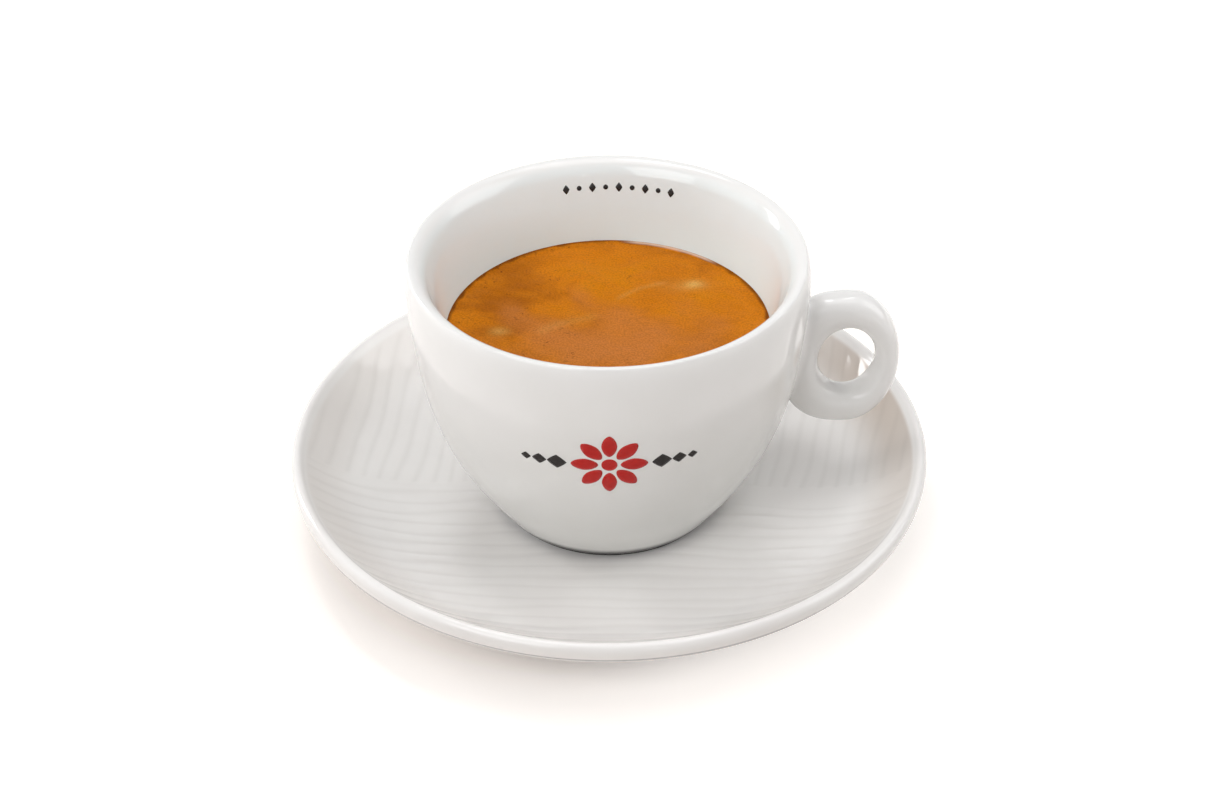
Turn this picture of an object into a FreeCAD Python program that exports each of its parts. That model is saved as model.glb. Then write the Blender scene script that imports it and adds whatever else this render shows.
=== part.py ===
import FreeCAD, Part
import math
import os

# A porcelain cup of black coffee on its coupe saucer.
# Millimetres, +Z up, origin on the table at the middle of the saucer's foot.
# The cup's handle points to +X, turned a little towards +Y. -Y is the front.

# Saucer
saucer_diameter = 155.0        # over the rolled rim
saucer_height = 20.3           # table to the top of the rim
saucer_floor_top = 4.3         # flat middle that carries the cup
saucer_floor = 2.8             # thickness of that middle
saucer_flat_radius = 30.0      # radius of the flat middle
saucer_rise_angle = 45.0       # slope of the wall where it meets the rim
wall_level_share = 0.60        # share of the wall's width that it leaves the middle level
wall_steep_share = 0.26        # share of the wall's width that it keeps its slope at the rim
saucer_foot_radius = 47.0      # outer radius of the foot ring
saucer_foot_width = 4.6
foot_flank = 0.8               # how far each side of the foot ring slopes
foot_shoulder_rise = 0.4       # foot ring's outer shoulder over the underside
rim_width = 3.1                # breadth of the rolled rim from above
rim_height = 4.8               # highest line down to its lower edge
rim_crest_inset = 1.4          # outside in to the highest line
rim_widest_drop = 2.1          # highest line down to where the rim is widest
rim_inner_drop = 1.3           # highest line down to where the wall starts
rim_tuck = 1.2                 # how far the lower edge lies inside the widest line
rim_undercut = 0.5             # groove under the lower edge
rim_roundness = 0.55
under_steep_share = 0.42       # underside: share that keeps the slope at the rim
under_level_share = 0.38       # underside: share that leaves the foot nearly level
under_lift = 0.3               # rise of that part

# Cup
cup_diameter = 94.6            # over the lip
cup_height = 68.3              # foot to the top of the lip
lip_thickness = 5.0            # outside to where the inside wall starts
lip_crest_inset = 1.1          # outside in to the highest line of the lip
lip_outer_drop = 5.9           # highest line down to where the lip is widest
lip_inner_drop = 3.8           # highest line down to where the inside wall starts
lip_softness = 0.5             # roundness of both sides of the lip
cup_bottom_radius = 28.2       # bowl where it ends, over the foot
cup_toe_radius = 1.6           # rounding of that lower edge
cup_foot_width = 3.4
cup_foot_depth = 0.8           # shadow gap between bowl and saucer
cup_floor = 6.2                # thickness of the cup's floor over the foot recess
cup_foot_recess = 1.8          # hollow inside the foot ring
recess_flank = 1.2             # how far the recess narrows on its way up
shoulder_drop = 24.1           # lip top down to where the bowl curve ends
shoulder_inset = 1.57          # how far the shoulder lies inside the lip
shoulder_lean = 6.6            # lean of the wall at the shoulder, from upright
wall_pull = 6.0                # how far the wall keeps its lean at shoulder and lip
bowl_lean = 31.0               # lean of the bowl above the foot, from upright
bowl_lower_pull = 8.3          # how far the bowl keeps that lean
bowl_upper_pull = 24.2         # how far it keeps the wall's lean below the shoulder
cavity_lean = 18.0             # lean of the inside wall at the lip, from upright
cavity_wall_pull = 22.0        # how far the inside wall keeps that lean
cavity_floor_share = 0.9       # share of the inside radius that shapes the level floor

# Ring handle
handle_azimuth = 2.0           # degrees from +X towards +Y
handle_standoff = 9.85         # outside of the lip to the middle of the finger hole
handle_drop = 30.3             # lip top down to the middle of the finger hole
hole_half_width = 6.9
hole_half_height = 8.95
band_outside = 5.7             # thickness of the band where it is furthest out
band_crown = 9.0               # thickness of the band at its top and bottom
root_inset = 6.25              # outside of the lip in to where the root ends inside the wall
root_fullness = 2.5            # 2 leaves an ellipse, more fills the corners at the cup
band_breadth = 9.0             # breadth across the handle
root_breadth = 10.4            # breadth where it meets the cup
band_squareness = 0.62         # 0.552 is an ellipse, more is squarer
handle_stations = 24           # sections round the ring
root_fillet = 1.6

# Coffee
fill_depth = 20.2              # lip top down to the coffee
crema_thickness = 2.4

# Worked out
saucer_radius = saucer_diameter / 2
cup_base = saucer_floor_top
cup_radius = cup_diameter / 2
inside_radius = cup_radius - lip_thickness
handle_reach = cup_radius + handle_standoff
root_depth = handle_standoff - hole_half_width + root_inset
lip_top = cup_base + cup_height
cavity_bottom = cup_base + cup_foot_recess + cup_floor
coffee_level = lip_top - fill_depth
middle_line_foot = FreeCAD.Vector(0, 0, 0)
upright = FreeCAD.Vector(0, 0, 1)
cubic_centimetre = 1000.0      # in cubic millimetres
contact_tolerance = 0.001


def point(radius, height):
    """A point of a turned profile, in the plane of X and Z."""
    return FreeCAD.Vector(radius, 0, height)


def line(start, end):
    return Part.LineSegment(start, end).toShape()


def bezier(*poles):
    """A smooth curve that leaves its first pole and reaches its last."""
    curve = Part.BezierCurve()
    curve.setPoles(list(poles))
    return curve.toShape()


def on_circle(centre, radius, angle):
    """A point on a circle, angle in degrees from +X towards +Z."""
    turn = math.radians(angle)
    return centre + point(radius * math.cos(turn), radius * math.sin(turn))


def arc(centre, radius, start_angle, end_angle):
    """An arc in the plane of X and Z between two angles."""
    angles = (start_angle, (start_angle + end_angle) / 2, end_angle)
    return Part.Arc(*[on_circle(centre, radius, angle) for angle in angles]).toShape()


def leaning(length, lean):
    """A step upwards and outwards, lean in degrees from upright."""
    return point(length * math.sin(math.radians(lean)), length * math.cos(math.radians(lean)))


def turned(edges):
    """Turns a closed profile once round the upright axis, with its seam away from the handle."""
    face = Part.Face(Part.Wire(edges))
    solid = face.revolve(middle_line_foot, upright, 360)
    solid.rotate(middle_line_foot, upright, 180)
    return solid


def saucer_shape():
    """Coupe saucer: flat middle, wall that steepens outwards, rolled rim, foot ring."""
    slope = leaning(1, 90 - saucer_rise_angle)
    inner_end = point(saucer_radius - rim_width, saucer_height - rim_inner_drop)
    crest = point(saucer_radius - rim_crest_inset, saucer_height)
    widest = point(saucer_radius, saucer_height - rim_widest_drop)
    lower_edge = point(saucer_radius - rim_tuck, saucer_height - rim_height)
    undercut_end = lower_edge - point(rim_undercut, 0)
    flat_end = point(saucer_flat_radius, saucer_floor_top)
    span = inner_end.x - flat_end.x
    top_wall = bezier(
        flat_end,
        flat_end + point(wall_level_share * span, 0),
        inner_end - slope * (wall_steep_share * span),
        inner_end)
    underside = saucer_floor_top - saucer_floor
    foot_inner_radius = saucer_foot_radius - saucer_foot_width
    shoulder = point(saucer_foot_radius + foot_flank, underside + foot_shoulder_rise)
    lower_span = undercut_end.x - shoulder.x
    bottom_wall = bezier(
        undercut_end,
        undercut_end - slope * (under_steep_share * lower_span),
        shoulder + point(under_level_share * lower_span, under_lift),
        shoulder)
    corners = [
        shoulder,
        point(saucer_foot_radius, 0),
        point(foot_inner_radius, 0),
        point(foot_inner_radius - foot_flank, underside),
        point(0, underside),
        point(0, saucer_floor_top),
        flat_end,
    ]
    edges = [line(start, end) for start, end in zip(corners, corners[1:])]
    edges += [
        top_wall,
        bezier(
            inner_end,
            inner_end + slope * (rim_roundness * rim_inner_drop),
            crest - point(rim_roundness * (crest.x - inner_end.x), 0),
            crest),
        bezier(
            crest,
            crest + point(rim_roundness * rim_crest_inset, 0),
            widest + point(0, rim_roundness * rim_widest_drop),
            widest),
        bezier(
            widest,
            widest - point(0, rim_roundness * (widest.z - lower_edge.z)),
            lower_edge + point(rim_roundness * rim_tuck, 0),
            lower_edge),
        line(lower_edge, undercut_end),
        bottom_wall,
    ]
    return turned(edges)


def bowl_edges():
    """Outside of the cup: toe, bowl and wall, from the foot to the highest line of the lip."""
    toe = point(cup_bottom_radius - cup_toe_radius, cup_base + cup_foot_depth + cup_toe_radius)
    toe_end = on_circle(toe, cup_toe_radius, -bowl_lean)
    shoulder = point(cup_radius - shoulder_inset, lip_top - shoulder_drop)
    widest = point(cup_radius, lip_top - lip_outer_drop)
    crest = point(cup_radius - lip_crest_inset, lip_top)
    return [
        arc(toe, cup_toe_radius, -90, -bowl_lean),
        bezier(
            toe_end,
            toe_end + leaning(bowl_lower_pull, bowl_lean),
            shoulder - leaning(bowl_upper_pull, shoulder_lean),
            shoulder),
        bezier(
            shoulder,
            shoulder + leaning(wall_pull, shoulder_lean),
            widest - point(0, wall_pull),
            widest),
        bezier(
            widest,
            widest + point(0, lip_softness * lip_outer_drop),
            crest + point(lip_softness * lip_crest_inset, 0),
            crest),
    ]


def inside_start():
    """Where the lip ends and the straight part of the inside wall starts."""
    return point(inside_radius, lip_top - lip_inner_drop)


def lip_inside():
    """Inner half of the lip, from its highest line down to the inside wall."""
    crest = point(cup_radius - lip_crest_inset, lip_top)
    start = inside_start()
    return bezier(
        crest,
        crest - point(lip_softness * (crest.x - start.x), 0),
        start + leaning(lip_softness * lip_inner_drop, cavity_lean),
        start)


def cavity_curve():
    """Inside of the cup, from the lip down to the middle of the floor."""
    start = inside_start()
    return bezier(
        start,
        start - leaning(cavity_wall_pull, cavity_lean),
        point(cavity_floor_share * inside_radius, cavity_bottom),
        point(0, cavity_bottom))


def cup_body():
    """Cup without its handle: foot ring, bowl, lip and cavity."""
    foot_outer = cup_bottom_radius - cup_toe_radius
    foot_inner = foot_outer - cup_foot_width
    recess = cup_base + cup_foot_recess
    corners = [
        point(0, cavity_bottom),
        point(0, recess),
        point(foot_inner - recess_flank, recess),
        point(foot_inner, cup_base),
        point(foot_outer, cup_base),
        point(foot_outer, cup_base + cup_foot_depth),
    ]
    base = [line(start, end) for start, end in zip(corners, corners[1:])]
    return turned(base + bowl_edges() + [lip_inside(), cavity_curve()])


def band_section(turn):
    """One closed section of the handle's band, at an angle round the finger hole."""
    cos, sin = math.cos(turn), math.sin(turn)
    middle = point(handle_reach, lip_top - handle_drop)
    hole = middle + point(hole_half_width * cos, hole_half_height * sin)
    height = hole_half_height + band_crown
    if cos >= 0:
        reach, power, breadth = hole_half_width + band_outside, 1.0, band_breadth
    else:
        reach, power = hole_half_width + root_depth, 2 / root_fullness
        breadth = band_breadth + (root_breadth - band_breadth) * cos * cos
    side = math.copysign(abs(cos) ** power, cos)
    crown = math.copysign(abs(sin) ** power, sin)
    outer = middle + point(reach * side, height * crown)
    across = FreeCAD.Vector(0, breadth / 2, 0)
    out = (outer - hole) / 2
    centre = (outer + hole) / 2
    soft = band_squareness
    edges = []
    for first, second in ((out, across), (across, -out), (-out, -across), (-across, out)):
        edges.append(bezier(
            centre + first,
            centre + first + second * soft,
            centre + second + first * soft,
            centre + second))
    return Part.Wire(edges)


def handle_ring():
    """Ring handle: one band lofted round the finger hole, thick where it enters the cup."""
    step = 2 * math.pi / handle_stations
    sections = [band_section(step * station) for station in range(handle_stations)]
    ring = Part.makeLoft(sections, True, False, True)
    ring.rotate(middle_line_foot, upright, handle_azimuth)
    return ring


def on_both(edge, first, second):
    """Whether an edge's middle lies on the skins of two solids."""
    span = edge.ParameterRange
    middle = Part.Vertex(edge.valueAt((span[0] + span[1]) / 2))
    return all(middle.distToShape(solid.Shells[0])[0] < contact_tolerance for solid in (first, second))


def cup_shape():
    """Cup and handle as one piece, with a small fillet where the handle grows out of the wall."""
    body = cup_body()
    ring = handle_ring()
    joined = body.fuse(ring)
    seam = [edge for edge in joined.Edges if on_both(edge, body, ring)]
    return joined.makeFillet(root_fillet, seam)


def coffee_layer(bottom, top):
    """What fills the cup between two levels, out to the wall."""
    start = inside_start()
    middle = point(0, start.z)
    cavity = turned([cavity_curve(), line(point(0, cavity_bottom), middle), line(middle, start)])
    slab = Part.makeCylinder(saucer_radius, top - bottom, point(0, bottom))
    return cavity.common(slab)


def save(shape, node):
    solid = shape.Solids[0]
    solid.exportStep("parts/" + node + ".step")
    print(node, round(solid.Volume / cubic_centimetre, 1), "cubic centimetres")


os.makedirs("parts", exist_ok=True)
save(saucer_shape(), "saucer")
save(cup_shape(), "cup")
save(coffee_layer(cavity_bottom, coffee_level - crema_thickness), "coffee")
save(coffee_layer(coffee_level - crema_thickness, coffee_level), "crema")
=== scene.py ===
import bpy
import math
import numpy as np
from mathutils import Matrix, Vector


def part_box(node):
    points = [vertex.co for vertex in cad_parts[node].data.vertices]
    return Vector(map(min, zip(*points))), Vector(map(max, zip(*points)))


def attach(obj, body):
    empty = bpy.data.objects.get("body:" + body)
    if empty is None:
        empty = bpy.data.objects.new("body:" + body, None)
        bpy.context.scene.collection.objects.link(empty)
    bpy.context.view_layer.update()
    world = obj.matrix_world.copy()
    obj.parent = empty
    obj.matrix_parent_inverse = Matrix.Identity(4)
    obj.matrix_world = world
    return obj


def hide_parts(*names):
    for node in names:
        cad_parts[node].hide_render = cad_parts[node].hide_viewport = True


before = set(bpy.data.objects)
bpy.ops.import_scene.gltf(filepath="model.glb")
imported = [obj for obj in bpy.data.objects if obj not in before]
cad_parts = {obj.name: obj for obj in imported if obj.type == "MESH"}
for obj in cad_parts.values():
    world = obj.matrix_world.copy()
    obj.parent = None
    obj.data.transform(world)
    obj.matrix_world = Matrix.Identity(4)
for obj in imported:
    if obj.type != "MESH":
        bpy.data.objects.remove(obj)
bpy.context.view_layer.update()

mm = 0.001                    # shapes are worked out in millimetres, the scene is in metres
poleRadius = 0.4              # a turned surface stops this near its axis, where a pole closes it
nodeBox = {node: np.array(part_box(node)) / mm for node in ("saucer", "cup", "coffee", "crema")}
print("frame loaded", {node: box.round(1).tolist() for node, box in nodeBox.items()})


# helpers for shapes

def bezier(poles, count):
    # cubic curve: the poles weighted by (1-t)^3, 3t(1-t)^2, 3t^2(1-t) and t^3
    t = np.linspace(0, 1, count)[:, None]
    p = np.array(poles, float)
    return p[0] * (1 - t) ** 3 + p[1] * 3 * t * (1 - t) ** 2 + p[2] * 3 * t ** 2 * (1 - t) + p[3] * t ** 3


def arc(centre, radius, startAngle, endAngle, count):
    # circle: centre plus radius times cosine and sine, angles in degrees
    a = np.radians(np.linspace(startAngle, endAngle, count))
    return np.array(centre) + radius * np.stack([np.cos(a), np.sin(a)], -1)


def straight(start, end, count):
    # points at even steps: start times (1-t) plus end times t
    t = np.linspace(0, 1, count)[:, None]
    return np.array(start) * (1 - t) + np.array(end) * t


def chain(*runs):
    # joins runs of points and leaves out each point that repeats the one before
    points = np.concatenate([np.array(run, float) for run in runs])
    step = np.linalg.norm(np.diff(points, axis=0), axis=1)
    return points[np.concatenate([[True], step > 1e-4])]


def smoothStep(low, high, value):
    # 0 below low, 1 above high, and 3t^2 - 2t^3 between
    t = np.clip((value - low) / (high - low), 0, 1)
    return t * t * (3 - 2 * t)


def between(value, rise, fall):
    # 1 within a span with soft ends: a smooth step up, times what a second smooth step leaves
    return smoothStep(*rise, value) * (1 - smoothStep(*fall, value))


def linked(name, data):
    # an object at the origin, unturned, that stands in the scene
    thing = bpy.data.objects.new(name, data)
    bpy.context.scene.collection.objects.link(thing)
    return thing


def makePiece(name, points, faces, material, replaces=None):
    # points in millimetres become a smooth mesh that rides on the one body
    mesh = bpy.data.meshes.new(name)
    mesh.from_pydata((points * mm).tolist(), [], faces)
    mesh.materials.append(material)
    mesh.shade_smooth()
    mesh.update()
    piece = linked(name, mesh)
    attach(piece, "root")
    if replaces:
        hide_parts(replaces)
    print("made", name, len(points), "points", sum(len(f) - 2 for f in faces), "triangles")
    return piece


def paint(piece, name, values):
    # one number for each point, which a material reads by name
    layer = piece.data.attributes.new(name, "FLOAT", "POINT")
    layer.data.foreach_set("value", np.ascontiguousarray(values, dtype=np.float32))


def ringFaces(rows, around):
    # quads of a grid that closes on itself along its second way
    i, j = np.meshgrid(np.arange(rows - 1), np.arange(around), indexing="ij")
    k = (j + 1) % around
    quads = np.stack([i * around + j, i * around + k, (i + 1) * around + k, (i + 1) * around + j], -1)
    return quads.reshape(-1, 4).tolist()


def closedTurn(rows):
    # rows of points (row, around, xyz) closed by a pole at each end: the mean of the first and last row
    count, around = rows.shape[:2]
    points = np.concatenate([rows.reshape(-1, 3), rows[:1].mean(1), rows[-1:].mean(1)])
    faces = ringFaces(count, around)
    low, high = count * around, count * around + 1
    j = np.arange(around)
    k = (j + 1) % around
    last = (count - 1) * around
    faces += np.stack([np.full(around, low), k, j], -1).tolist()
    faces += np.stack([np.full(around, high), last + j, last + k], -1).tolist()
    return points, faces


def turned(profile, around):
    # carries a profile (radius, height) round the upright axis: radius times cosine and sine
    a = np.linspace(0, 2 * np.pi, around, endpoint=False)
    radius, height = profile[:, :1], profile[:, 1:]
    return np.stack([radius * np.cos(a), radius * np.sin(a), height + 0 * a], -1)


# helpers for materials

def colour(hexCode):
    # an sRGB hex value turned to linear
    parts = np.array([int(hexCode[i:i + 2], 16) / 255 for i in (1, 3, 5)])
    linear = np.where(parts <= 0.04045, parts / 12.92, ((parts + 0.055) / 1.055) ** 2.4)
    return (*linear.tolist(), 1.0)


def add(tree, kind, settings=None, **links):
    # adds one node; settings are its properties or unlinked inputs, links join its inputs to outputs
    node = tree.nodes.new("ShaderNode" + kind)
    for key, value in (settings or {}).items():
        if isinstance(key, str) and hasattr(node, key) and key not in node.inputs:
            setattr(node, key, value)
        else:
            node.inputs[key].default_value = value
    for key, output in links.items():
        place = int(key[1:]) if key[0] == "i" and key[1:].isdigit() else key.replace("_", " ")
        tree.links.new(output, node.inputs[place])
    return node


def emptyTree(owner):
    # the node tree of a material or world, cleared
    owner.use_nodes = True
    owner.node_tree.nodes.clear()
    return owner.node_tree


def newMaterial(name, constants):
    # one principled shader; the constants go on its own sockets
    material = bpy.data.materials.new(name)
    tree = emptyTree(material)
    shader = add(tree, "BsdfPrincipled", constants)
    add(tree, "OutputMaterial", Surface=shader.outputs[0])
    return material, tree, shader


def noise(tree, place, size, detail, **more):
    # cloudy noise whose cells measure about size in millimetres
    return add(tree, "TexNoise", {"Scale": 1 / (size * mm), "Detail": detail, **more},
               Vector=place).outputs["Fac"]


def ramp(tree, source, stops):
    # a colour ramp with (place, hex) stops
    node = add(tree, "ValToRGB", Fac=source)
    elements = node.color_ramp.elements
    while len(elements) < len(stops):
        elements.new(0.5)
    for element, (place, hexCode) in zip(elements, stops):
        element.position = place
        element.color = colour(hexCode)
    return node.outputs["Color"]


# the materials of the whole scene

glazeLook = {
    "cloudSize": 22.0,        # mm
    "peelSize": 3.5,
    "peelDepth": 0.008,
    "roughness": 0.09,
    "ior": 1.5,
    "innerPaintedLight": "#e9fbff",   # painted light: cooler and brighter low inside the cup
    "bowlPaintedShade": "#e6e7e5",    # painted shade, greyer low on the bowl
    # painted shade: dark on the toe and the foot ring's side
    "footPaintedShade": "#1e1c1b",
    "ribDepth": 0.05,
    "ribRise": ((0.0, "#000000"), (0.70, "#ffffff"), (1.0, "#000000")),     # height over one rib
    "ribShadeRamp": ((0.0, "#ffffff"), (0.22, "#3a3a3a"), (0.45, "#000000"), (0.72, "#1c1c1c"),
                (0.93, "#ffffff")),      # painted shade over one rib
    # painted shade: over the ribs, on the steep wall and in the groove under the rim
    "ribShadeTone": "#b4b0ad",
    "ribShadeShare": 0.085,
    "steepShadeTone": "#cdbfb2",
    "grooveShadowTone": "#a3a1a6",
}


def glazeBase(name, tint, shade):
    # hard porcelain under a clear glaze, fired glossy: a cool white with a sharp sheen, a hardly
    # visible orange peel and faint milky clouds where the glaze lies thicker
    look = glazeLook
    material, tree, shader = newMaterial(name, {"Roughness": look["roughness"], "IOR": look["ior"]})
    place = add(tree, "TexCoord").outputs["Object"]
    clouds = noise(tree, place, look["cloudSize"], 3.0)
    base = ramp(tree, clouds, [(0.3, shade), (0.7, tint)])
    peel = noise(tree, place, look["peelSize"], 1.0)
    bump = add(tree, "Bump", {"Distance": look["peelDepth"] * mm}, Height=peel)
    return material, tree, shader, base, bump


def blend(tree, kind, amount, first, second):
    # mixes two colours by an amount; each of them is a socket or a hex value
    mixer = add(tree, "Mix", {"data_type": "RGBA", "blend_type": kind})
    for place, value in ((0, amount), (6, first), (7, second)):
        if isinstance(value, str):
            mixer.inputs[place].default_value = colour(value)
        elif isinstance(value, float):
            mixer.inputs[place].default_value = value
        else:
            tree.links.new(value, mixer.inputs[place])
    return mixer.outputs[2]


def painted(tree, name):
    # a number that was written on the mesh points
    return add(tree, "Attribute", {"attribute_name": name}).outputs["Fac"]


def calc(tree, kind, first, second=None):
    # one step of arithmetic between sockets or plain numbers
    node = add(tree, "Math", {"operation": kind})
    for place, value in ((0, first), (1, second)):
        if isinstance(value, (int, float)):
            node.inputs[place].default_value = value
        elif value is not None:
            tree.links.new(value, node.inputs[place])
    return node.outputs[0]


def cupPorcelain():
    # the same glaze on the cup, with painted cool light inside, painted shade low on the bowl and a
    # dark painted shade on the toe and the foot ring's side
    material, tree, shader, base, bump = glazeBase("cupPorcelainGlaze", "#f6f5f4", "#f2f1ef")
    # painted light: the inside is tinted cooler and brighter
    inside = blend(tree, "MIX", painted(tree, "inner"), base, glazeLook["innerPaintedLight"])
    # painted shade low on the outside of the bowl
    bowl = blend(tree, "MULTIPLY", painted(tree, "bowl"), inside, glazeLook["bowlPaintedShade"])
    # painted shade: the toe darkens down to the foot ring
    whole = blend(tree, "MIX", painted(tree, "footShade"), bowl, glazeLook["footPaintedShade"])
    tree.links.new(whole, shader.inputs["Base Color"])
    tree.links.new(bump.outputs["Normal"], shader.inputs["Normal"])
    return material


def saucerPorcelain():
    # glaze over two fields of shallow lapped ribs: painted shade over each rib ends in a fine grey
    # line; the steep wall under the rim gets a warmer painted shade, the groove a painted shadow line
    look = glazeLook
    material, tree, shader, base, bump = glazeBase("saucerPorcelainGlaze", "#f5f3f1", "#f0edeb")
    height, ribShade = None, None
    for phase, share in (("ribPhase", "ribShare"), ("boardPhase", "boardShare")):
        t = calc(tree, "FRACT", painted(tree, phase))
        amount = painted(tree, share)
        rise = calc(tree, "MULTIPLY", ramp(tree, t, look["ribRise"]), amount)
        stepShade = calc(tree, "MULTIPLY", ramp(tree, t, look["ribShadeRamp"]), amount)
        height = rise if height is None else calc(tree, "ADD", height, rise)
        ribShade = stepShade if ribShade is None else calc(tree, "ADD", ribShade, stepShade)
    # painted shade over each rib, darkest where one rib meets the next
    ribShade = calc(tree, "MULTIPLY", ribShade, look["ribShadeShare"])
    ribShaded = blend(tree, "MULTIPLY", ribShade, base, look["ribShadeTone"])
    # painted shade on the steep wall under the rim, warm and strongest to one side
    steepShaded = blend(tree, "MULTIPLY", painted(tree, "steep"), ribShaded, look["steepShadeTone"])
    # painted shadow line in the groove under the rolled rim
    whole = blend(tree, "MULTIPLY", painted(tree, "grooveShadow"), steepShaded, look["grooveShadowTone"])
    tree.links.new(whole, shader.inputs["Base Color"])
    ribs = add(tree, "Bump", {"Distance": look["ribDepth"] * mm}, Height=height,
               Normal=bump.outputs["Normal"])
    tree.links.new(ribs.outputs["Normal"], shader.inputs["Normal"])
    return material


cremaLook = {
    "gold": "#da840e",        # thin bright crema
    "orange": "#d57c12",
    "deep": "#b2640c",
    "rosy": "#d07e3a",        # duller, finely blistered crema
    "brown": "#5a2a08",       # along the wall
    "pale": "#e6ae5a",        # foam spots
    "film": "#f0d2bc",        # painted highlight on the wet line where the crema climbs the wall
    "swirlSize": 13.0,        # mm
    "swirlContrast": 1.1,
    "swirlStretch": (1.0, 1.5, 1.0),
    "swirlTurn": (0, 0, -0.45),          # radians
    "grainSize": 0.45,
    "grainDepth": 0.1,
    "speckSize": 1.1,
    "driftSize": 7.0,         # specks gather in drifts of this size
}


def cremaFoam():
    # espresso crema, a foam of very fine bubbles in oil: golden where it is thin and wet, duller
    # and rosier where it is thick, peppered with dark specks of fines, with a weak satin sheen
    look = cremaLook
    material, tree, shader = newMaterial(
        "cremaFoam", {"Roughness": 0.36, "IOR": 1.36, "Specular IOR Level": 0.06})
    place = add(tree, "TexCoord").outputs["Object"]
    stretch = add(tree, "Mapping", {"Scale": look["swirlStretch"], "Rotation": look["swirlTurn"]},
                  Vector=place).outputs[0]
    swirl = noise(tree, stretch, look["swirlSize"], 4.0, Roughness=0.5, Distortion=0.7)
    swirl = calc(tree, "MULTIPLY", calc(tree, "SUBTRACT", swirl, 0.5), look["swirlContrast"])
    depth = calc(tree, "ADD", swirl, painted(tree, "golden"))
    tone = ramp(tree, depth, [(0.15, look["deep"]), (0.5, look["orange"]), (0.85, look["gold"])])
    tone = blend(tree, "MIX", painted(tree, "rosy"), tone, look["rosy"])
    tone = blend(tree, "MIX", painted(tree, "pale"), tone, look["pale"])
    grain = noise(tree, place, look["grainSize"], 2.0)
    tone = blend(tree, "MULTIPLY", 1.0, tone, ramp(tree, grain, [(0.30, "#dcdcdc"), (0.62, "#ffffff")]))
    fines = noise(tree, place, look["speckSize"], 3.0, Roughness=0.7)
    drift = noise(tree, place, look["driftSize"], 2.0)
    near = ramp(tree, fines, [(0.60, "#000000"), (0.70, "#ffffff")])
    chosen = ramp(tree, drift, [(0.42, "#101010"), (0.62, "#ffffff")])
    specks = calc(tree, "MULTIPLY", calc(tree, "MULTIPLY", near, chosen), painted(tree, "specks"))
    tone = blend(tree, "MIX", specks, tone, look["brown"])
    tone = blend(tree, "MIX", painted(tree, "wallSide"), tone, look["brown"])
    # painted highlight on the wet line at the wall
    tone = blend(tree, "MIX", painted(tree, "film"), tone, look["film"])
    tree.links.new(tone, shader.inputs["Base Color"])
    bump = add(tree, "Bump", {"Strength": 0.3, "Distance": look["grainDepth"] * mm}, Height=grain)
    tree.links.new(bump.outputs["Normal"], shader.inputs["Normal"])
    return material


def blackCoffee():
    # brewed coffee: nearly black, brown where it thins out, smooth and wet
    material, tree, shader = newMaterial("blackCoffee", {"Roughness": 0.08, "IOR": 1.34})
    tone = noise(tree, add(tree, "TexCoord").outputs["Object"], 12, 2.0)
    tree.links.new(ramp(tree, tone, [(0.35, "#241008"), (0.65, "#3a1c0c")]), shader.inputs["Base Color"])
    return material


def ceramicInk(name, deep, light):
    # screen-printed ceramic ink fired under the glaze: even colour, a little thinner in places
    material, tree, shader = newMaterial(
        name, {"Roughness": 0.16, "IOR": glazeLook["ior"], "Specular IOR Level": 0.3})
    film = noise(tree, add(tree, "TexCoord").outputs["Object"], 0.9, 2.0)
    tree.links.new(ramp(tree, film, [(0.3, deep), (0.75, light)]), shader.inputs["Base Color"])
    return material


cupGlaze = cupPorcelain()
saucerGlaze = saucerPorcelain()
foamMaterial = cremaFoam()
coffeeMaterial = blackCoffee()
redInk = ceramicInk("redCeramicInk", "#b90d06", "#c51509")
darkInk = ceramicInk("darkCeramicInk", "#211d1c", "#2c2725")


# cup

cupShape = {
    "lipThickness": 5.0,
    "crestInset": 1.1,
    "lipOuterDrop": 5.9,
    "lipInnerDrop": 3.8,
    "lipSoftness": 0.5,
    "bottomRadius": 28.2,
    "toeRadius": 1.6,
    "footWidth": 3.4,
    "footDepth": 0.8,
    "floor": 6.2,
    "footRecess": 1.8,
    "recessFlank": 1.2,
    "shoulderDrop": 24.1,
    "shoulderInset": 1.57,
    "shoulderLean": 6.6,
    "wallPull": 6.0,
    "bowlLean": 31.0,
    "bowlLowerPull": 8.3,
    "bowlUpperPull": 24.2,
    "cavityLean": 18.0,
    "cavityWallPull": 22.0,
    "cavityFloorShare": 0.9,
    "recessRing": 8.0,        # radius of one more ring of points on the recess
    "footShadeHeight": 3.6,          # height over which painted shade darkens the toe down to the foot ring
    "coolDepth": 20.0,        # below the lip the inside gets painted cool light from this depth down
    "coolLoss": 0.6,          # share of that painted light lost up at the lip
    "coolFloor": (4.0, 6.0),  # heights over the foot where the inside begins
    "insideFrom": (2.0, 4.5),            # depths behind the outer face that count as inside
    "outsideTo": (0.5, 2.0),             # and those that still count as outside
    "bowlShadeFade": (0.10, 0.95),            # shares of the height over which the painted shade low on the bowl fades
    "around": 320,
}
cupBase, lipTop = nodeBox["cup"][0, 2], nodeBox["cup"][1, 2]
cupRadius = -nodeBox["cup"][0, 1]


def leaning(length, lean):
    # a step upwards and outwards, lean in degrees from upright
    return length * np.array([math.sin(math.radians(lean)), math.cos(math.radians(lean))])


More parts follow.
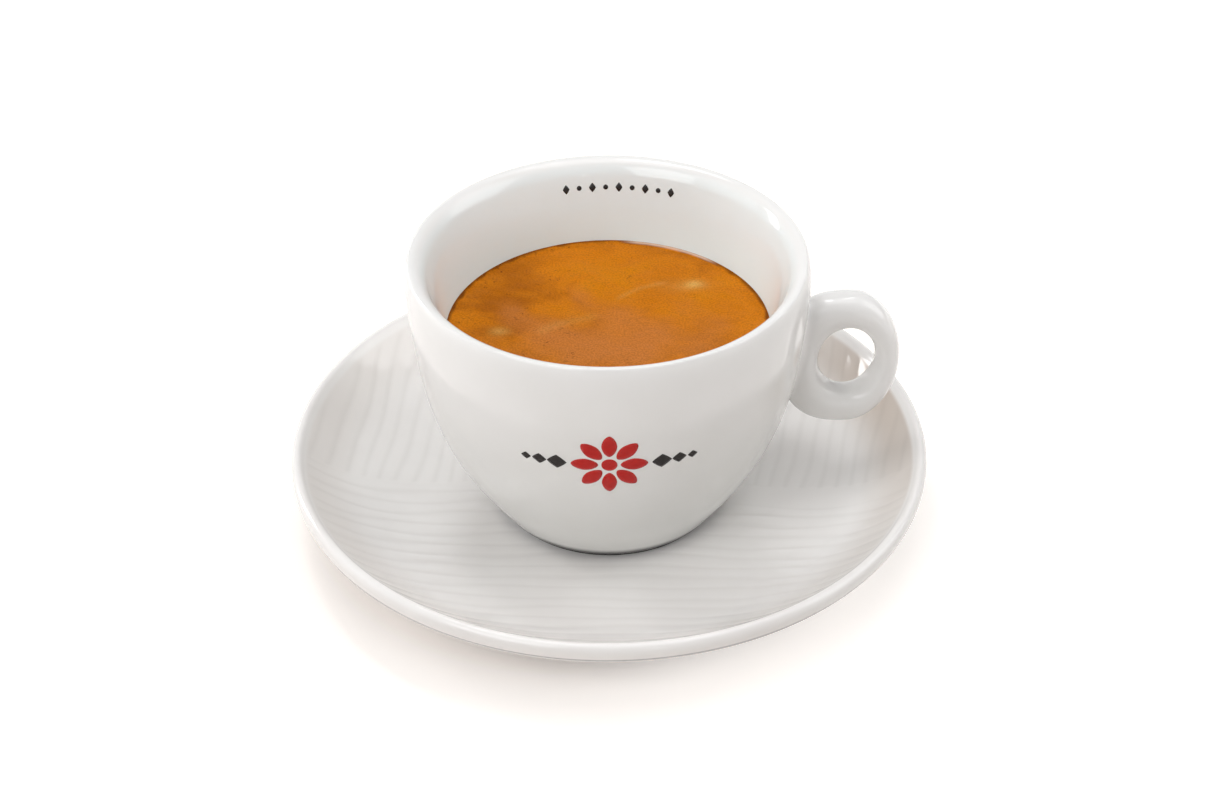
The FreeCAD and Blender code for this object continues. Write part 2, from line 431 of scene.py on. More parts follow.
def cupOutside():
    # toe arc, bowl curve, wall curve and the outer half of the lip, from the foot upwards
    s = cupShape
    toe = np.array([s["bottomRadius"] - s["toeRadius"], cupBase + s["footDepth"] + s["toeRadius"]])
    toeArc = arc(toe, s["toeRadius"], -90, -s["bowlLean"], 14)
    shoulder = np.array([cupRadius - s["shoulderInset"], lipTop - s["shoulderDrop"]])
    widest = np.array([cupRadius, lipTop - s["lipOuterDrop"]])
    crest = np.array([cupRadius - s["crestInset"], lipTop])
    bowl = bezier([toeArc[-1], toeArc[-1] + leaning(s["bowlLowerPull"], s["bowlLean"]),
                   shoulder - leaning(s["bowlUpperPull"], s["shoulderLean"]), shoulder], 56)
    wall = bezier([shoulder, shoulder + leaning(s["wallPull"], s["shoulderLean"]),
                   widest - (0, s["wallPull"]), widest], 20)
    lip = bezier([widest, widest + (0, s["lipSoftness"] * s["lipOuterDrop"]),
                  crest + (s["lipSoftness"] * s["crestInset"], 0), crest], 16)
    return chain(toeArc, bowl, wall, lip)


def cupInside():
    # inner half of the lip and the cavity curve, down to the middle of the floor
    s = cupShape
    crest = np.array([cupRadius - s["crestInset"], lipTop])
    start = np.array([cupRadius - s["lipThickness"], lipTop - s["lipInnerDrop"]])
    bottom = cupBase + s["footRecess"] + s["floor"]
    lip = bezier([crest, crest - (s["lipSoftness"] * (crest[0] - start[0]), 0),
                  start + leaning(s["lipSoftness"] * s["lipInnerDrop"], s["cavityLean"]), start], 16)
    cavity = bezier([start, start - leaning(s["cavityWallPull"], s["cavityLean"]),
                     (s["cavityFloorShare"] * start[0], bottom), (poleRadius, bottom)], 56)
    return chain(lip, cavity)


def makeCup():
    # one closed profile turned: recess, foot ring, outside, lip and cavity. Its paint says how far
    # each point lies inside, for painted cool light, and where painted shade falls low on the bowl and
    # near the foot, as smooth steps of depth and height
    s = cupShape
    footOuter = s["bottomRadius"] - s["toeRadius"]
    footInner = footOuter - s["footWidth"]
    recess = cupBase + s["footRecess"]
    recessEdge = (footInner - s["recessFlank"], recess)
    profile = chain(
        [(poleRadius, recess), (s["recessRing"], recess), recessEdge],
        straight(recessEdge, (footInner, cupBase), 4),
        straight((footInner, cupBase), (footOuter, cupBase), 4),
        [(footOuter, cupBase + s["footDepth"])],
        cupOutside(),
        cupInside())
    points, faces = closedTurn(turned(profile, s["around"]))
    piece = makePiece("cupBody", points, faces, cupGlaze, "cup")
    wall = cupOutside()
    behind = np.interp(points[:, 2], wall[:, 1], wall[:, 0]) - np.hypot(points[:, 0], points[:, 1])
    above = points[:, 2] - cupBase
    # painted cool light inside the cup, less of it up at the lip
    cool = 1 - s["coolLoss"] * smoothStep(lipTop - s["coolDepth"], lipTop - s["lipInnerDrop"], points[:, 2])
    outside = 1 - smoothStep(*s["outsideTo"], behind)
    paint(piece, "inner", smoothStep(*s["insideFrom"], behind) * smoothStep(*s["coolFloor"], above) * cool)
    # painted shade low on the bowl's outside, fading upwards
    paint(piece, "bowl", outside * (1 - smoothStep(*s["bowlShadeFade"], above / (lipTop - cupBase))))
    # painted shade on the toe, darkest at the foot ring
    paint(piece, "footShade", 1 - smoothStep(0.1 * s["footShadeHeight"], s["footShadeHeight"], above - s["footDepth"]))


makeCup()


# ring handle

handleShape = {
    "azimuth": 2.0,           # degrees from +X towards +Y
    "reach": 57.15,           # cup's middle to the middle of the finger hole
    "drop": 30.3,
    "holeHalfWidth": 6.9,
    "holeHalfHeight": 8.95,
    "bandOutside": 5.7,
    "bandCrown": 9.0,
    "rootDepth": 9.2,
    "rootFullness": 2.5,
    "bandBreadth": 9.0,
    "rootBreadth": 10.4,
    "bandSquareness": 0.62,
    "rootFillet": 2.0,
    "along": 380,
    "across": 128,
}


def bandSection(squareness, count):
    # four cubic arcs through (1,0), (0,1), (-1,0), (0,-1); fuller than a circle
    corners = [(1, 0), (0, 1), (-1, 0), (0, -1)]
    runs = []
    for first, second in zip(corners, corners[1:] + corners[:1]):
        a, b = np.array(first, float), np.array(second, float)
        runs.append(bezier([a, a + b * squareness, b + a * squareness, b], count // 4 + 1)[:-1])
    return np.concatenate(runs)


def makeHandle():
    # at each angle round the finger hole a section spans from the hole's oval to the outer outline;
    # where it nears the cup's wall it spreads sideways as a quarter-circle fillet does
    s = handleShape
    turn = np.linspace(0, 2 * np.pi, s["along"], endpoint=False)[:, None]
    cos, sin = np.cos(turn), np.sin(turn)
    atCup = cos < 0
    power = np.where(atCup, 2 / s["rootFullness"], 1.0)
    reach = s["holeHalfWidth"] + np.where(atCup, s["rootDepth"], s["bandOutside"])
    breadth = s["bandBreadth"] + np.where(atCup, (s["rootBreadth"] - s["bandBreadth"]) * cos ** 2, 0)
    hole = np.concatenate([s["holeHalfWidth"] * cos, s["holeHalfHeight"] * sin], 1)
    outer = np.concatenate([reach * np.sign(cos) * np.abs(cos) ** power,
                            (s["holeHalfHeight"] + s["bandCrown"]) * np.sign(sin) * np.abs(sin) ** power], 1)
    middle, half = (outer + hole) / 2, (outer - hole) / 2
    section = bandSection(s["bandSquareness"], s["across"])
    plane = middle[:, None] + half[:, None] * section[None, :, :1]
    side = breadth / 2 * section[None, :, 1]
    rows = np.stack([s["reach"] + plane[..., 0], side, lipTop - s["drop"] + plane[..., 1]], -1)
    wall = cupOutside()
    gap = np.hypot(rows[..., 0], rows[..., 1]) - np.interp(rows[..., 2], wall[:, 1], wall[:, 0])
    r = s["rootFillet"]
    close = np.clip(r - gap, 0, r)
    spread = r - np.sqrt(r * r - close ** 2)
    along = np.roll(rows, -1, 0) - np.roll(rows, 1, 0)
    over = np.roll(rows, -1, 1) - np.roll(rows, 1, 1)
    normal = np.cross(over, along)
    normal /= np.linalg.norm(normal, axis=-1, keepdims=True)
    normal[..., 0] = 0
    rows = rows + normal * spread[..., None]
    a = math.radians(s["azimuth"])
    rotated = np.stack([rows[..., 0] * math.cos(a) - rows[..., 1] * math.sin(a),
                        rows[..., 0] * math.sin(a) + rows[..., 1] * math.cos(a), rows[..., 2]], -1)
    faces = np.array(ringFaces(s["along"] + 1, s["across"])) % (s["along"] * s["across"])
    makePiece("cupHandle", rotated.reshape(-1, 3), faces.tolist(), cupGlaze)


makeHandle()


# saucer

saucerShape = {
    "floorTop": 4.3,
    "floor": 2.8,
    "flatRadius": 30.0,
    "riseAngle": 45.0,
    "levelShare": 0.60,
    "steepShare": 0.26,
    "footRadius": 47.0,
    "footWidth": 4.6,
    "footFlank": 0.8,
    "footShoulderRise": 0.4,
    "rimWidth": 3.1,
    "rimHeight": 4.8,
    "crestInset": 1.4,
    "widestDrop": 2.1,
    "innerDrop": 1.3,
    "rimTuck": 1.2,
    "undercut": 0.5,
    "roundness": 0.55,
    "underSteepShare": 0.42,
    "underLevelShare": 0.38,
    "underLift": 0.3,
    "middleRing": 20.0,       # radius of one more ring of points on the flat middle and below it
    "closeRings": (26.0, 27.0),          # from here on the rings of the flat middle stand close
    "around": 720,
    "ribDepth": 0.06,         # mm from the lowest to the highest line of a rib
    "ribLag": 1.2,            # radians by which a rib's top lags behind its count
    "ribbedFrom": (26.7, 28.4),          # radii over which the ribs fade in, clear of the cup's foot
    "ribbedTo": (72.6, 74.2),            # and out below the rim
    "steepShade": 0.8,
    "steepFrom": (60.0, 71.0),           # radii over which the steep wall's painted shade begins
    "steepTo": (73.6, 74.6),
    "grooveDrop": 3.75,       # painted shadow line along the rolled rim, below its widest part
    "grooveWidth": 0.22,
    "shadeBearing": 0.30,      # the steep wall's painted shade is warmest and darkest in this direction, in radians
    "shadeWidth": 0.55,
    "shadeLeast": 0.25,        # share of that painted shade all round
    "frontPitch": 4.3,        # ribs that run left to right over the front
    "archMiddle": -5.0,       # they arch: highest at this X, falling with the square of the distance
    "archRight": 0.0024,
    "archLeft": 0.0018,
    "backPitch": 4.05,        # boards that run front to back over the rest
    "backSlant": 0.19,
    "backFan": 0.001,
    "bandLow": 3.9,           # smooth band on the handle's side, measured square to the arched ribs
    "bandHigh": -3.6,
    "fieldEdge": -3.8,        # where the two fields meet on the other side
    "sides": (-3.0, 3.0),     # X over which one side passes into the other
    "edgeSoft": (0.0, 0.9),
    "ribWaves": ((0.30, 1 / 9.0, 0.21, 0.0), (0.22, 1 / 4.3, -0.33, 1.3), (0.35, 1 / 21.0, 0.9, 0.0)),
    "boardWaves": ((0.30, 1 / 5.0, 1 / 6.0, 0.0), (0.35, 1 / 3.1, 0.0, 0.0)),
}
saucerRadius = nodeBox["saucer"][1, 0]
saucerTop = nodeBox["saucer"][1, 2]


def waves(x, y, terms):
    # a sum of sines; each term is its height, its radians per mm along X and Y, and its phase
    return sum(height * np.sin(alongX * x + alongY * y + phase) for height, alongX, alongY, phase in terms)


def saucerRelief(x, y):
    # front field: ribs along X, gently wavy; back field: boards along Y that lean and fan out;
    # between them on the handle's side a smooth band. Each field fades out at its border. Returns
    # how many ribs and boards lie before each point, and how much of each field it belongs to
    s = saucerShape
    bend = np.where(x > s["archMiddle"], s["archRight"], s["archLeft"])
    forward = -y - bend * (x - s["archMiddle"]) ** 2
    ribs = (forward + waves(x, y, s["ribWaves"])) / s["frontPitch"]
    fanned = (x - s["backSlant"] * y) / (1 + s["backFan"] * y)
    boards = (fanned + waves(x, y, s["boardWaves"])) / s["backPitch"]
    rightSide = smoothStep(*s["sides"], x)
    frontEdge = s["fieldEdge"] * (1 - rightSide) + s["bandLow"] * rightSide
    backEdge = s["fieldEdge"] * (1 - rightSide) + s["bandHigh"] * rightSide
    inFront = smoothStep(*s["edgeSoft"], forward - frontEdge)
    inBack = smoothStep(*s["edgeSoft"], backEdge - forward)
    return ribs, boards, inFront, inBack


def saucerProfiles():
    # the wall's curve, the three curves of the rolled rim, and the underside with its foot ring
    s = saucerShape
    slope = leaning(1, 90 - s["riseAngle"])
    inner = np.array([saucerRadius - s["rimWidth"], saucerTop - s["innerDrop"]])
    crest = np.array([saucerRadius - s["crestInset"], saucerTop])
    widest = np.array([saucerRadius, saucerTop - s["widestDrop"]])
    lower = np.array([saucerRadius - s["rimTuck"], saucerTop - s["rimHeight"]])
    undercut = lower - (s["undercut"], 0)
    flat = np.array([s["flatRadius"], s["floorTop"]])
    span = inner[0] - flat[0]
    soft = s["roundness"]
    wall = bezier([flat, flat + (s["levelShare"] * span, 0),
                   inner - s["steepShare"] * span * slope, inner], 84)
    rim = chain(
        bezier([inner, inner + soft * s["innerDrop"] * slope,
                crest - (soft * (crest[0] - inner[0]), 0), crest], 6),
        bezier([crest, crest + (soft * s["crestInset"], 0),
                widest + (0, soft * s["widestDrop"]), widest], 6),
        bezier([widest, widest - (0, soft * (widest[1] - lower[1])),
                lower + (soft * s["rimTuck"], 0), lower], 16))
    underside = s["floorTop"] - s["floor"]
    shoulder = np.array([s["footRadius"] + s["footFlank"], underside + s["footShoulderRise"]])
    lowerSpan = undercut[0] - shoulder[0]
    below = bezier([undercut, undercut - s["underSteepShare"] * lowerSpan * slope,
                    shoulder + (s["underLevelShare"] * lowerSpan, s["underLift"]), shoulder], 12)
    footInner = s["footRadius"] - s["footWidth"]
    under = chain(below, [(s["footRadius"], 0), (footInner, 0), (footInner - s["footFlank"], underside),
                          (s["middleRing"], underside), (poleRadius, underside)])
    return wall, rim, under


def makeSaucer():
    # one closed profile turned; its top swells as a sine of the ribs and boards counted up to each
    # point; the glaze reads those counts, and painted shade on the steep wall and in the rim's groove
    s = saucerShape
    wall, rim, under = saucerProfiles()
    level = s["floorTop"]
    closeFrom, closeTo = s["closeRings"]
    top = chain([(radius, level) for radius in (poleRadius, s["middleRing"], closeFrom)],
                straight((closeTo, level), (s["flatRadius"], level), 6), wall)
    profile = chain(top, rim, under)[::-1]
    rows = turned(profile, s["around"])
    firstTop = len(profile) - len(top)
    x, y = rows[firstTop:, :, 0], rows[firstTop:, :, 1]
    radius, bearing = np.hypot(x, y), np.arctan2(y, x)
    ribs, boards, inFront, inBack = saucerRelief(x, y)
    ribbed = between(radius, s["ribbedFrom"], s["ribbedTo"])
    swell = (inFront * np.sin(2 * np.pi * ribs - s["ribLag"])
             + inBack * np.sin(2 * np.pi * boards - s["ribLag"]))
    rows[firstTop:, :, 2] += 0.5 * s["ribDepth"] * swell * ribbed
    # painted shade on the steep wall, strongest towards one bearing
    offShade = (bearing - s["shadeBearing"]) / s["shadeWidth"]
    shadeAround = s["shadeLeast"] + (1 - s["shadeLeast"]) * np.exp(-offShade ** 2)
    steep = s["steepShade"] * shadeAround * between(radius, s["steepFrom"], s["steepTo"])
    points, faces = closedTurn(rows)
    piece = makePiece("saucerDish", points, faces, saucerGlaze, "saucer")
    rimSide = np.hypot(points[:, 0], points[:, 1]) > saucerRadius - s["rimWidth"] + s["crestInset"]
    # painted shadow line along the rolled rim
    fromGroove = (points[:, 2] - saucerTop + s["grooveDrop"]) / s["grooveWidth"]
    paint(piece, "grooveShadow", rimSide * np.exp(-fromGroove ** 2))
    topPoints = slice(firstTop * s["around"], len(points) - 2)
    for name, values in (("ribPhase", ribs), ("boardPhase", boards), ("ribShare", inFront * ribbed),
                         ("boardShare", inBack * ribbed), ("steep", steep)):
        whole = np.zeros(len(points))
        whole[topPoints] = values.ravel()
        paint(piece, name, whole)


makeSaucer()


# coffee and crema

cremaShape = {
    "around": 360,
    "rings": 150,
    "innerRing": 0.3,         # radius of the innermost ring
    "intoWall": 0.25,         # reaches just into the cup's wall
    "levelDrop": 0.15,        # middle of the surface below the top of its box
    "meniscus": 0.45,         # climb at the wall
    "meniscusWidth": 1.6,
    "swells": ((0.06, 14.0, 3), (0.03, 4.0, 4)),           # height, size, seed
    "raggedSize": 14.0,       # the noise that frays the patches
    "golden": 0.42,           # how thin the crema is where nothing else says so
    "patches": (((-1, 22), (13, 8), 0.36), ((22, 13), (8, 9), 0.30), ((-25, 9), (7, 9), -0.30),
                ((-22, 25), (7, 5), -0.14), ((14, 5), (9, 5), 0.10)),        # place, size, share
    "curlTip": (-9.5, 16.0),  # a dark line bent as a parabola
    "curlBend": 0.10,
    "curlWidth": 1.3,
    "curlShare": 0.22,
    "curlSpan": ((9, 12), (22, 25)),     # Y over which it appears and fades
    "rosyPlace": (0.0, -8.0),
    "rosySize": (31.0, 16.0),
    "rosyFade": (-0.35, 0.9),
    "rosyRagged": 0.22,
    "rosyShare": 0.9,
    "spots": (((20.9, 18.5), (2.4, 1.7), 0.75), ((19.0, 18.0), (5.0, 2.6), 0.28),
              ((-26.2, -1.2), (2.4, 1.6), 0.6), ((5.6, -16.3), (3.6, 0.7), -1.0)),
    "spotRagged": 0.5,
    "streaks": (((-16.5, -1.9), (-3.3, 5.9), 1.6, 0.20),   # start, end, width, share
                ((2.2, 12.5), (13.6, 20.2), 0.8, 0.26)),
    "streakWave": 0.6,
    "streakWaveLength": 3.0,
    "streakEnds": 2.0,
    "specksFrom": (5, -20),   # specks grow denser over these X, slanted
    "specksSlant": 0.6,
    "specksLeast": 0.25,
    "specksRagged": 0.2,
    "wallLine": (0.25, 0.9),  # how far from the wall its dark line fades
    "wallRagged": (0.2, 5.0, 9),         # share, size, seed
    "wallShare": 0.75,
    "highlightInward": 0.25,       # painted highlight of the wet line: how far inside the wall, its width and its bearings
    "highlightWidth": 0.3,
    "highlightSpan": ((44, 52), (78, 86)),
    "highlightShare": 0.8,
}


def softNoise(x, y, size, seed):
    # a sum of eight waves of random direction and phase, about 0 with a spread of 1
    rng = np.random.default_rng(seed)
    angle = rng.uniform(0, 2 * np.pi, 8)
    phase = rng.uniform(0, 2 * np.pi, 8)
    length = size * rng.uniform(0.7, 1.5, 8)
    return sum(np.sin(2 * np.pi * (x * np.cos(a) + y * np.sin(a)) / w + p)
               for a, p, w in zip(angle, phase, length)) / 2


def blob(x, y, place, size):
    # a soft oval spot: 1 in the middle, fading as a bell curve
    return np.exp(-((x - place[0]) / size[0]) ** 2 - ((y - place[1]) / size[1]) ** 2)


def streak(x, y, start, end, width, share):
    # a soft line: a bell curve across it, waved by a sine, and smooth steps at both ends
    s = cremaShape
    start, end = np.array(start), np.array(end)
    length = np.linalg.norm(end - start)
    way = (end - start) / length
    along = (x - start[0]) * way[0] + (y - start[1]) * way[1]
    wave = s["streakWave"] * np.sin(along / s["streakWaveLength"])
    across = (x - start[0]) * way[1] - (y - start[1]) * way[0] + wave
    soft = s["streakEnds"]
    reach = between(along, (-soft, soft), (length - soft, length + soft))
    return share * np.exp(-(across / width) ** 2) * reach


def cremaTones(x, y, wallRadius):
    # what the foam shows at each point: golden adds up bell-shaped patches less the curl, rosy is a
    # ragged oval, pale adds up spots and streaks, specks thicken to one side, and two lines follow
    # the wall: a dark one all round and a painted highlight over some bearings
    s = cremaShape
    ragged = softNoise(x, y, s["raggedSize"], 11)
    golden = s["golden"]
    for place, size, share in s["patches"]:
        golden = golden + share * blob(x, y, place, size)
    curl = x - s["curlTip"][0] - s["curlBend"] * (y - s["curlTip"][1]) ** 2
    golden = golden - s["curlShare"] * np.exp(-(curl / s["curlWidth"]) ** 2) * between(y, *s["curlSpan"])
    offRosy = np.hypot((x - s["rosyPlace"][0]) / s["rosySize"][0], (y - s["rosyPlace"][1]) / s["rosySize"][1])
    rosy = s["rosyShare"] * smoothStep(*s["rosyFade"], 1 - offRosy + s["rosyRagged"] * ragged)
    frayed = x + s["spotRagged"] * ragged
    pale = sum(share * blob(frayed, y, place, size) for place, size, share in s["spots"])
    pale = pale + sum(streak(x, y, *settings) for settings in s["streaks"])
    specks = (s["specksLeast"] + s["specksRagged"] * ragged
              + (1 - s["specksLeast"]) * smoothStep(*s["specksFrom"], x - s["specksSlant"] * y))
    inward = wallRadius - np.hypot(x, y)
    share, size, seed = s["wallRagged"]
    wallSide = s["wallShare"] * (1 - smoothStep(*s["wallLine"], inward + share * softNoise(x, y, size, seed)))
    # painted highlight along the wall over some bearings
    film = (s["highlightShare"] * np.exp(-((inward - s["highlightInward"]) / s["highlightWidth"]) ** 2)
            * between(np.degrees(np.arctan2(y, x)), *s["highlightSpan"]))
    return {"golden": golden, "rosy": rosy, "pale": np.clip(pale, 0, 1), "specks": np.clip(specks, 0, 1),
            "wallSide": wallSide, "film": film}


def makeCrema():
    # rings from the middle to the wall: level, a little swollen by noise, and climbing with the
    # square of the nearness to the wall; a flat bottom closes it
    s = cremaShape
    low, high = nodeBox["crema"]
    radius = high[0] + s["intoWall"]
    rings = np.linspace(s["innerRing"], radius, s["rings"])
    surface = np.stack([rings, np.full_like(rings, high[2] - s["levelDrop"])], -1)
    bottom = np.array([(radius, low[2]), (s["innerRing"], low[2])])
    rows = turned(np.concatenate([surface, bottom])[::-1], s["around"])
    x, y = rows[len(bottom):, :, 0], rows[len(bottom):, :, 1]
    fromWall = high[0] - np.hypot(x, y)
    climb = np.clip(1 - fromWall / s["meniscusWidth"], 0, 1) ** 2
    swell = sum(height * softNoise(x, y, size, seed) for height, size, seed in s["swells"])
    rows[len(bottom):, :, 2] += swell * (1 - climb) + s["meniscus"] * climb
    points, faces = closedTurn(rows)
    piece = makePiece("cremaTop", points, faces, foamMaterial, "crema")
    for name, values in cremaTones(points[:, 0], points[:, 1], high[0]).items():
        paint(piece, name, values)


makeCrema()
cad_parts["coffee"].material_slots[0].material = coffeeMaterial
print("coffee dressed")


# print on the cup

printShape = {
    "middleHeight": 46.0,
    "rosetteRadius": 5.6,     # from its middle to the middle of each petal
    "petals": 8,
    "petalSize": (3.1, 1.75),
    "petalPower": 1.7,        # outline: 1 is a lozenge, 2 an oval
    "eye": 1.8,
    "lozengePlaces": (11.9, 16.0, 19.2),
    "lozengeSizes": ((2.3, 2.0), (1.7, 1.5), (1.2, 1.05)),
    "lozengePower": 1.15,
    "insideHeight": 66.3,
    "insideBearing": 86.0,
    "insideMarks": 9,
    "insideStep": 3.3,
    "insideKinds": (((0.85, 1.15), 1.2), ((0.62, 0.62), 2.0)),     # lozenge and dot by turns: size, power
    "innermost": 0.02,        # size of a mark's first ring, as a share of its outline
    "lift": 0.035,
}


def filmShape(centre, size, turn, power, around=40, rings=4):
    # flat outline |a|^p + |b|^p = 1 filled by rings: rows from the middle out, in millimetres
    a = np.linspace(0, 2 * np.pi, around, endpoint=False)
    unit = np.stack([np.sign(np.cos(a)) * np.abs(np.cos(a)) ** (2 / power) * size[0],
                     np.sign(np.sin(a)) * np.abs(np.sin(a)) ** (2 / power) * size[1]], -1)
    rotate = np.array([[math.cos(turn), math.sin(turn)], [-math.sin(turn), math.cos(turn)]])
    flat = np.linspace(printShape["innermost"], 1, rings)[:, None, None] * (unit @ rotate)[None]
    return flat + np.array(centre)


def wrapFilm(flat, wall, height, facing, lift):
    # lays a flat shape on a turned wall: across becomes an angle, up follows the wall's height
    order = np.argsort(wall[:, 1])
    z = height + flat[..., 1]
    radius = np.interp(z, wall[order, 1], wall[order, 0]) + lift
    middle = np.interp(height, wall[order, 1], wall[order, 0])
    angle = facing + flat[..., 0] / middle
    return np.stack([radius * np.cos(angle), radius * np.sin(angle), z], -1)


def makePrint(name, shapes, wall, height, facing, outward, material):
    # every shape is a closed film: its face a little above the wall and its back a little inside;
    # outward is 1 on the outside of the cup and -1 inside, and its outline runs the way that turns
    # the faces away from the porcelain
    allPoints, allFaces, count = [], [], 0
    for flat in shapes:
        flat = flat[:, ::-outward]
        face = wrapFilm(flat, wall, height, facing, outward * printShape["lift"])
        back = wrapFilm(flat[::-1], wall, height, facing, -outward * printShape["lift"])
        points, faces = closedTurn(np.concatenate([face, back]))
        allPoints.append(points)
        allFaces += [[i + count for i in f] for f in faces]
        count += len(points)
    makePiece(name, np.concatenate(allPoints), allFaces, material)


def makePrints():
    # petals on a circle round an eye, lozenges that shrink to both sides, and a row of small marks
    s = printShape
    turns = np.arange(s["petals"]) * 2 * math.pi / s["petals"]
    petals = [filmShape((s["rosetteRadius"] * math.cos(t), s["rosetteRadius"] * math.sin(t)),
                        s["petalSize"], t, s["petalPower"]) for t in turns]
    petals.append(filmShape((0, 0), (s["eye"], s["eye"]), 0, 2.0))
    lozenges = [filmShape((side * place, 0), size, 0, s["lozengePower"])
                for side in (-1, 1) for place, size in zip(s["lozengePlaces"], s["lozengeSizes"])]
    middle = (s["insideMarks"] - 1) / 2
    marks = [filmShape(((k - middle) * s["insideStep"], 0), s["insideKinds"][k % 2][0], 0,
                       s["insideKinds"][k % 2][1], 20, 3) for k in range(s["insideMarks"])]
    front, back = math.radians(-90), math.radians(s["insideBearing"])
    makePrint("redRosettePrint", petals, cupOutside(), s["middleHeight"], front, 1, redInk)
    makePrint("darkLozengePrint", lozenges, cupOutside(), s["middleHeight"], front, 1, darkInk)
    makePrint("innerDotPrint", marks, cupInside(), s["insideHeight"], back, -1, darkInk)


makePrints()


# floor, light and camera

stageSetup = {
    "floorSize": 6.0,
    "floorDrop": 0.0002,      # clear of the saucer's foot
    "paper": "#ebe5e0",
    "floorWhite": (0.34, 0.49),          # painted light that the floor shows by itself, rising from left to right
    "whiteAcross": (-0.06, 0.06),        # X over which it changes
    "shadeMiddle": (-0.008, 0, 0),
    "shadeWhite": 0.24,       # painted shadow: how much of it is lost close under the saucer's front left
    "shadeFrom": (0.058, 0.072),
    "shadeAcross": (-0.015, 0.045),      # X over which that loss ends
    "sweepFrom": (0.15, 0.60),           # from here on outwards the paper turns fully white
    "roomLight": 0.02,
    "aim": (0, 0, 0.04),
}
softboxes = {                 # place, size in metres, watts
    "softboxTop": ((0.0, 0.0, 1.05), (0.8, 0.7), 3.4),
    "softboxTopLeft": ((-0.20, 0.26, 0.98), (0.10, 0.45), 1.3),
    "softboxTopRight": ((0.20, 0.30, 0.95), (0.05, 0.30), 0.35),
    "softboxLeft": ((-0.80, -0.10, 0.50), (0.7, 0.7), 1.1),
    "softboxFrontLeft": ((-0.55, -0.75, 0.60), (0.7, 0.7), 5.2),
    "softboxRight": ((0.80, 0.0, 0.50), (0.7, 0.7), 3.6),
    "softboxBack": ((0.1, 0.95, 0.50), (0.9, 0.6), 0.4),
    "windowLeftBack": ((-0.80, 0.45, 0.28), (0.12, 0.5), 2.6),
    "windowFront": ((0.24, -0.95, 0.30), (0.04, 0.20), 0.14),
}


def mapRange(tree, source, fromRange, toRange=(0.0, 1.0), kind="SMOOTHSTEP"):
    # carries one range onto another, by a smooth step or in a straight line
    return add(tree, "MapRange", {"interpolation_type": kind, 1: fromRange[0], 2: fromRange[1],
                                  3: toRange[0], 4: toRange[1]}, i0=source).outputs[0]


def seenDirectly(tree):
    # 1 for camera, mirror and glass rays, so that they meet a plain white surrounding
    path = add(tree, "LightPath").outputs
    first = calc(tree, "MAXIMUM", path["Is Camera Ray"], path["Is Glossy Ray"])
    return calc(tree, "MAXIMUM", first, path["Is Transmission Ray"])


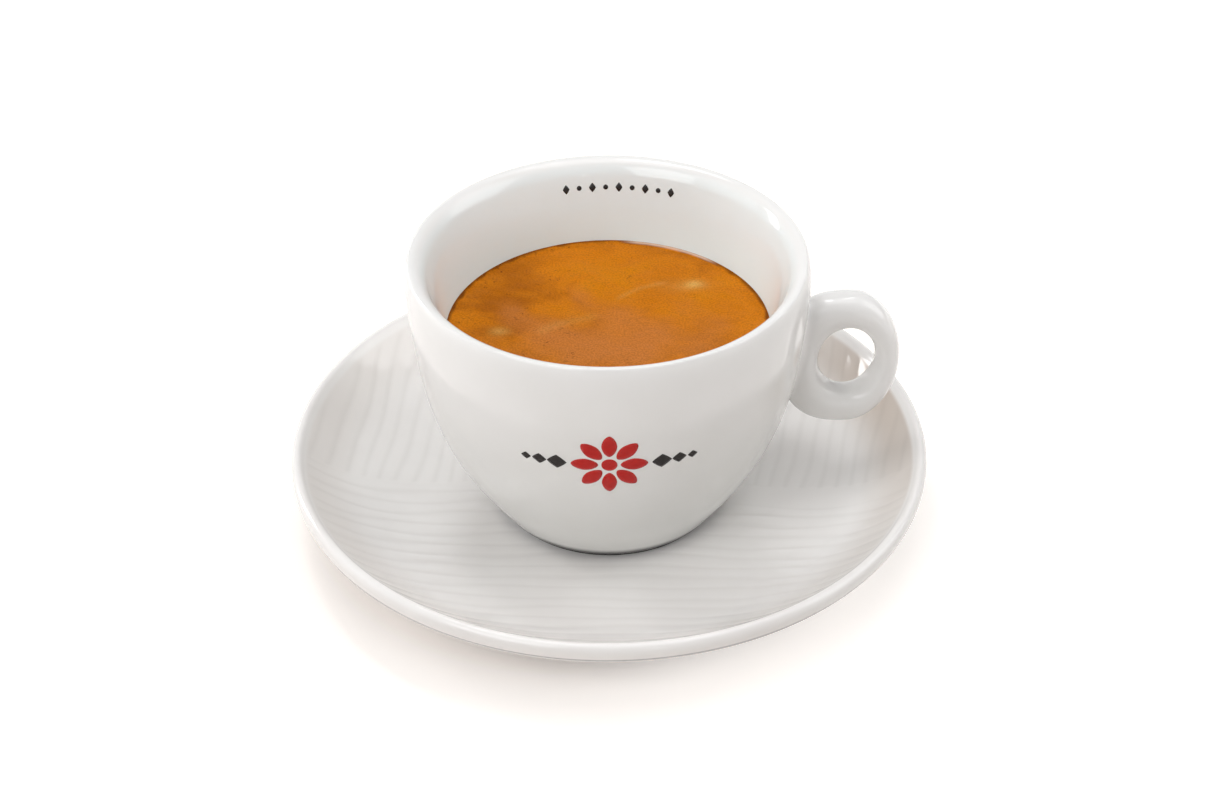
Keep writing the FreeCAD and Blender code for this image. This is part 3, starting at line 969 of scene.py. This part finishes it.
def makeFloor():
    # matt white paper sweep: pale, with the soft shadow of what stands on it, and a painted glow for
    # rays that look at it directly, brighter to the right, less a painted shadow under the saucer's front
    # left
    s = stageSetup
    size, drop = s["floorSize"], -s["floorDrop"]
    mesh = bpy.data.meshes.new("paperFloor")
    mesh.from_pydata([(-size, -size, drop), (size, -size, drop), (size, size, drop), (-size, size, drop)],
                     [], [(0, 1, 2, 3)])
    material = bpy.data.materials.new("mattWhitePaper")
    tree = emptyTree(material)
    paper = add(tree, "BsdfDiffuse", {"Color": colour(s["paper"])})
    glow = add(tree, "Emission", {"Color": (1, 1, 1, 1)})
    place = add(tree, "TexCoord").outputs["Object"]
    side = add(tree, "SeparateXYZ", i0=place).outputs[0]
    away = add(tree, "VectorMath", {"operation": "DISTANCE", 1: s["shadeMiddle"]}, i0=place).outputs["Value"]
    # painted light brighter to the right, and a painted shadow close under the saucer's front left
    white = mapRange(tree, side, s["whiteAcross"], s["floorWhite"], "LINEAR")
    close = mapRange(tree, away, s["shadeFrom"], (s["shadeWhite"], 0.0))
    leftShadowSide = mapRange(tree, side, s["shadeAcross"], (1.0, 0.0))
    sweep = mapRange(tree, away, s["sweepFrom"])
    shown = calc(tree, "ADD", calc(tree, "SUBTRACT", white, calc(tree, "MULTIPLY", close, leftShadowSide)), sweep)
    tree.links.new(calc(tree, "MULTIPLY", shown, seenDirectly(tree)), glow.inputs["Strength"])
    both = add(tree, "AddShader", i0=paper.outputs[0], i1=glow.outputs[0])
    add(tree, "OutputMaterial", Surface=both.outputs[0])
    mesh.materials.append(material)
    linked("paperFloor", mesh)


def makeWorld():
    # a dim room for the light, and plain white for what looks at it directly
    world = bpy.data.worlds.new("whiteStudio")
    bpy.context.scene.world = world
    tree = emptyTree(world)
    strength = mapRange(tree, seenDirectly(tree), (0.0, 1.0), (stageSetup["roomLight"], 1.0), "LINEAR")
    light = add(tree, "Background", {"Color": (1, 1, 1, 1)}, Strength=strength)
    add(tree, "OutputWorld", Surface=light.outputs[0])


def pointAt(thing, place, target, roll=0.0):
    # stands a lamp or camera at a place and turns its -Z to the target
    look = (Vector(target) - Vector(place)).to_track_quat("-Z", "Y").to_matrix().to_4x4()
    thing.matrix_world = Matrix.Translation(place) @ look @ Matrix.Rotation(roll, 4, "Z")


def areaLight(name, place, target, size, power):
    # a rectangular softbox that faces the target
    light = bpy.data.lights.new(name, "AREA")
    light.shape = "RECTANGLE"
    light.size, light.size_y = size
    light.energy = power
    pointAt(linked(name, light), place, target)


cameraSetup = {
    "sensor": 36,             # mm
    "lens": 65.99,
    "clipStart": 0.01,
    "place": (0.0, -0.44038, 0.34937),
    "pitch": 35.863,          # degrees down
    "yaw": 0.0665,            # degrees to the right
    "roll": -0.4,
}


def makeCamera():
    # a long lens in front of and above the cup; its target lies a metre ahead, moved
    # sideways by the sine of the yaw and down by the tangent of the pitch
    s = cameraSetup
    camera = bpy.data.cameras.new("camera")
    camera.sensor_width = s["sensor"]
    camera.lens = s["lens"]
    camera.clip_start = s["clipStart"]
    holder = linked("camera", camera)
    x, y, z = s["place"]
    pitch, yaw = math.radians(s["pitch"]), math.radians(s["yaw"])
    target = (x + math.sin(yaw), y + math.cos(yaw), z - math.tan(pitch))
    pointAt(holder, s["place"], target, math.radians(s["roll"]))
    bpy.context.scene.camera = holder


makeFloor()
makeWorld()
for name, (place, size, power) in softboxes.items():
    areaLight(name, place, stageSetup["aim"], size, power)
makeCamera()
print("stage set with", len(softboxes), "lamps")
bpy.context.scene.view_settings.view_transform = "Standard"
